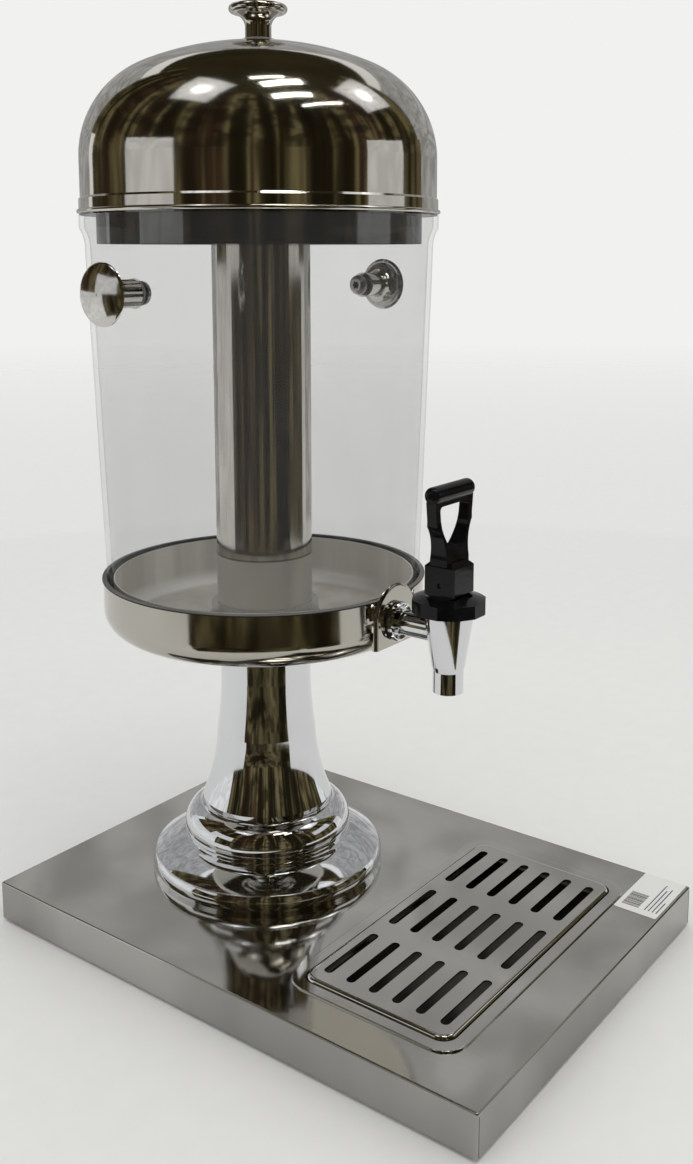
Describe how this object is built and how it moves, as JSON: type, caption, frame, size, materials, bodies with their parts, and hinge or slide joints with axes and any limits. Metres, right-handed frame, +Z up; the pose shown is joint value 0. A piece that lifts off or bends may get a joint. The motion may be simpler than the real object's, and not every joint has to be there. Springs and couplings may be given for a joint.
{
  "type": "juice dispenser",
  "caption": "Countertop cold drink dispenser: clear container with ice tube and domed lid on a chrome pedestal, lever tap over a drip tray.",
  "frame": {"origin": "centre of the base, on the plane of its feet", "axes": "+Z up, tap and drip tray towards -Y, +X to the right seen from the front"},
  "size_m": [0.263, 0.35, 0.5616],
  "materials": {
    "mirror_steel": "mirror polished stainless sheet",
    "satin_steel": "spun satin",
    "chrome_plate": "bright plating",
    "plain_steel": "plain machined",
    "black_plastic": "gloss moulded",
    "black_rubber": "matt",
    "clear_plastic": "clear polycarbonate",
    "clear_silicone": "milky",
    "label_paper": "coated paper"
  },
  "bodies": {
    "stand": {"backing_plate": "plain_steel", "base_shell": "mirror_steel", "blank_label": "label_paper", "clamp_boss": "plain_steel", "ice_tube": "mirror_steel", "ice_tube_bolt": "plain_steel", "ice_tube_seal": "clear_silicone", "ice_tube_washer": "clear_silicone", "pan": "mirror_steel", "pan_liner": "satin_steel", "pan_seal": "black_rubber", "pedestal_collar_ring": "chrome_plate", "pedestal_foot_ring": "chrome_plate", "pedestal_neck": "chrome_plate", "rubber_foot_front_left": "black_rubber", "rubber_foot_front_right": "black_rubber", "rubber_foot_rear_left": "black_rubber", "rubber_foot_rear_right": "black_rubber", "tap_body": "chrome_plate", "tap_bonnet": "black_plastic", "tap_gasket": "black_rubber", "tap_inner_washer": "clear_silicone", "tap_shank_nut": "plain_steel", "tap_shank_ring": "chrome_plate", "tap_spring": "plain_steel", "tie_rod": "plain_steel", "tie_rod_nut": "plain_steel", "tie_rod_washer": "plain_steel"},
    "tray": {"drip_tray": "mirror_steel"},
    "grate": {"drip_grate": "mirror_steel"},
    "container_unit": {"container": "clear_plastic", "side_knob_left": "mirror_steel", "side_knob_right": "mirror_steel", "side_knob_washer_left": "clear_silicone", "side_knob_washer_right": "clear_silicone", "side_screw_left": "plain_steel", "side_screw_right": "plain_steel", "side_screw_washer_left": "plain_steel", "side_screw_washer_right": "plain_steel"},
    "lid": {"lid_dome": "mirror_steel", "lid_skirt": "mirror_steel", "lid_knob": "mirror_steel", "lid_knob_pad": "clear_silicone", "lid_knob_screw": "plain_steel"},
    "tap_stem_unit": {"tap_stem": "plain_steel", "tap_seat_cup": "clear_silicone", "tap_handle_pin": "black_plastic"},
    "tap_handle_unit": {"tap_handle": "black_plastic"}
  },
  "joints": [
    {"name": "container_lift", "type": "slide", "parent": "stand", "child": "container_unit", "axis": [0, 0, 1], "range_m": [0, 0.26]},
    {"name": "lid_lift", "type": "slide", "parent": "container_unit", "child": "lid", "axis": [0, 0, 1], "range_m": [0, 0.14]},
    {"name": "tray_lift", "type": "slide", "parent": "stand", "child": "tray", "axis": [0, 0, 1], "range_m": [0, 0.05]},
    {"name": "grate_lift", "type": "slide", "parent": "tray", "child": "grate", "axis": [0, 0, 1], "range_m": [0, 0.04]},
    {"name": "stem_lift", "type": "slide", "parent": "stand", "child": "tap_stem_unit", "axis": [0, 0, 1], "range_m": [0, 0.0036], "deforming": ["tap_spring"]},
    {"name": "handle_tilt", "type": "hinge", "parent": "tap_stem_unit", "child": "tap_handle_unit", "pos_m": [0, -0.075, 0.234], "axis": [1, 0, 0], "range_deg": [0, 35], "stiffness_Nm_per_rad": 0.03, "springref_deg": -14.32}
  ],
  "couplings": [
    {"joint": "stem_lift", "follows": "handle_tilt", "m_per_rad": 0.0056}
  ]
}
